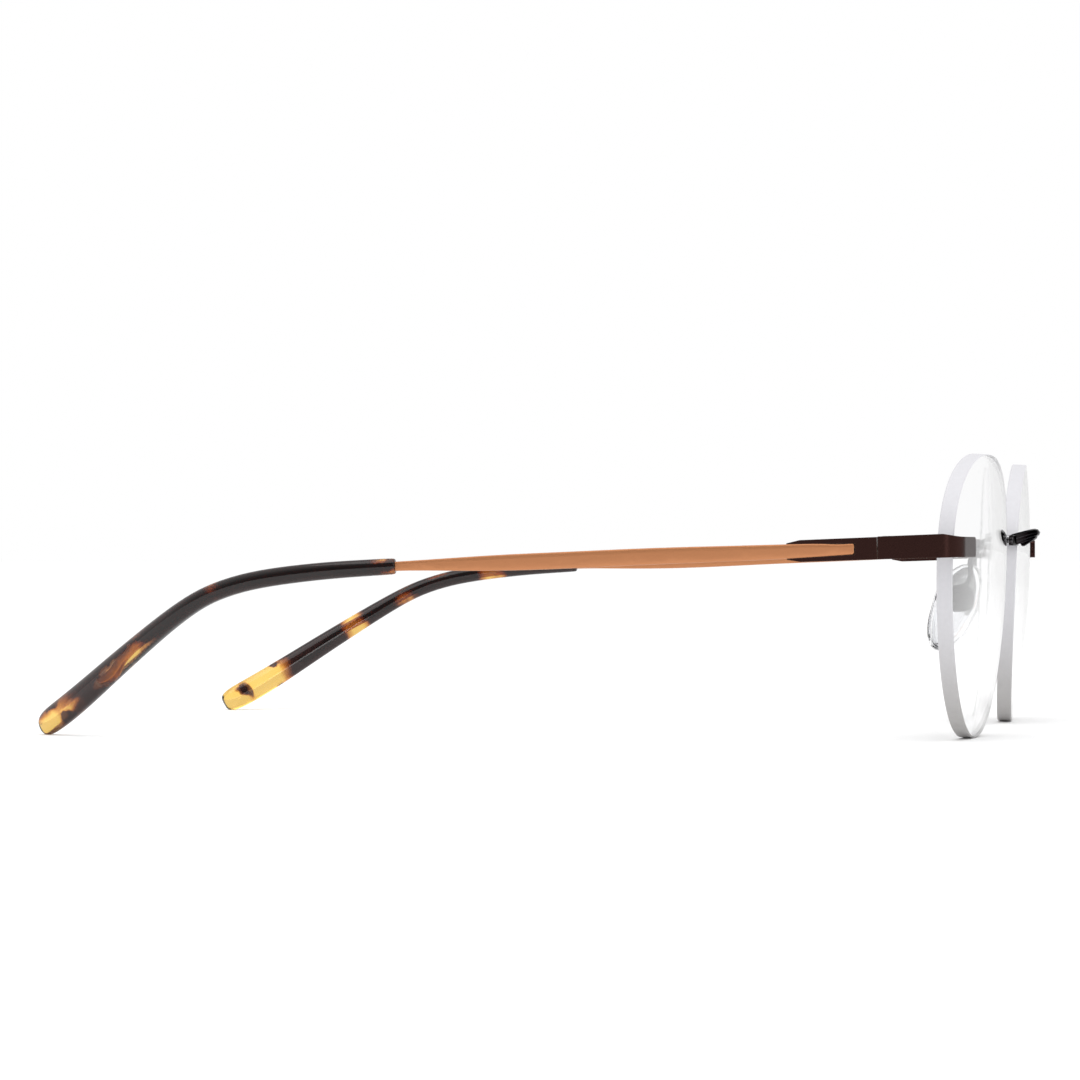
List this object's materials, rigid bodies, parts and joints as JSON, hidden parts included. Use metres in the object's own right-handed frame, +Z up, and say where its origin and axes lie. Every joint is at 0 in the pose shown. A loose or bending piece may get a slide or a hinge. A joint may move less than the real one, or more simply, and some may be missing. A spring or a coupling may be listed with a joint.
{
  "type": "rimless eyeglasses",
  "caption": "Rimless eyeglasses: clear lenses on an arched bridge, metal temples on spring hinges, bent acetate tips and soft nose pads.",
  "frame": {"origin": "on the resting plane, under the middle of the bounding box", "axes": "+Z up, the lenses face -Y, the temples run back towards +Y, the wearer's left is +X"},
  "size_m": [0.141, 0.1538, 0.044],
  "materials": {
    "gunmetal": "satin dark plated metal",
    "brown_metal": "satin dark brown",
    "copper_metal": "satin copper",
    "lens_clear": "clear polished faces, ground edge",
    "clear_nylon": "clear",
    "bright_steel": "polished",
    "hinge_steel": "machined",
    "pad_insert": "smooth",
    "silicone": "clear soft silicone",
    "tortoise_acetate": "polished tortoise shell pattern"
  },
  "bodies": {
    "front": {"bridge": "gunmetal", "lens_left": "lens_clear", "lens_right": "lens_clear", "bridge_bushing_left": "clear_nylon", "bridge_bushing_right": "clear_nylon", "end_piece_bushing_left": "clear_nylon", "end_piece_bushing_right": "clear_nylon", "pad_arm_left": "gunmetal", "pad_arm_right": "gunmetal", "pad_box_left": "gunmetal", "pad_box_right": "gunmetal", "pad_screw_left": "bright_steel", "pad_screw_right": "bright_steel", "end_piece_left": "brown_metal", "end_piece_right": "brown_metal"},
    "pad_left": {"nose_pad_left": "silicone", "pad_core_left": "pad_insert"},
    "hinge_pin_left": {"hinge_screw_left": "bright_steel"},
    "hinge_link_left": {"hinge_link_left": "hinge_steel", "hinge_nut_left": "hinge_steel"},
    "temple_left": {"hinge_housing_left": "brown_metal", "hinge_guide_left": "hinge_steel", "hinge_spring_left": "bright_steel", "temple_left": "copper_metal", "temple_tip_left": "tortoise_acetate"},
    "pad_right": {"nose_pad_right": "silicone", "pad_core_right": "pad_insert"},
    "hinge_pin_right": {"hinge_screw_right": "bright_steel"},
    "hinge_link_right": {"hinge_link_right": "hinge_steel", "hinge_nut_right": "hinge_steel"},
    "temple_right": {"hinge_housing_right": "brown_metal", "hinge_guide_right": "hinge_steel", "hinge_spring_right": "bright_steel", "temple_right": "copper_metal", "temple_tip_right": "tortoise_acetate"}
  },
  "joints": [
    {"name": "pad_rock_left", "type": "hinge", "parent": "front", "child": "pad_left", "pos_m": [0.01081, -0.06463, 0.02146], "axis": [0.4164, 0.7832, 0.4617], "range_deg": [-8, 8]},
    {"name": "fold_left", "type": "hinge", "parent": "front", "child": "hinge_pin_left", "pos_m": [0.06485, -0.05971, 0.0294], "axis": [0, 0, 1], "range_deg": [0, 83]},
    {"name": "flex_left", "type": "hinge", "parent": "hinge_pin_left", "child": "hinge_link_left", "pos_m": [0.06485, -0.05971, 0.0294], "axis": [0, 0, 1], "range_deg": [-12, 0], "stiffness_Nm_per_rad": 0.08, "springref_deg": 6.88},
    {"name": "flex_slide_left", "type": "slide", "parent": "hinge_link_left", "child": "temple_left", "axis": [0, -0.9993, 0.0361], "range_m": [-0.0005, 0], "deforming": ["hinge_spring_left"]},
    {"name": "pad_rock_right", "type": "hinge", "parent": "front", "child": "pad_right", "pos_m": [-0.01081, -0.06463, 0.02146], "axis": [0.4164, -0.7832, -0.4617], "range_deg": [-8, 8]},
    {"name": "fold_right", "type": "hinge", "parent": "front", "child": "hinge_pin_right", "pos_m": [-0.06485, -0.05971, 0.0294], "axis": [0, 0, -1], "range_deg": [0, 89.5]},
    {"name": "flex_right", "type": "hinge", "parent": "hinge_pin_right", "child": "hinge_link_right", "pos_m": [-0.06485, -0.05971, 0.0294], "axis": [0, 0, -1], "range_deg": [-12, 0], "stiffness_Nm_per_rad": 0.08, "springref_deg": 6.88},
    {"name": "flex_slide_right", "type": "slide", "parent": "hinge_link_right", "child": "temple_right", "axis": [0, -0.9993, 0.0361], "range_m": [-0.0005, 0], "deforming": ["hinge_spring_right"]}
  ],
  "couplings": [
    {"joint": "flex_slide_left", "follows": "flex_left", "m_per_rad": 0.00235},
    {"joint": "flex_slide_right", "follows": "flex_right", "m_per_rad": 0.00235}
  ]
}
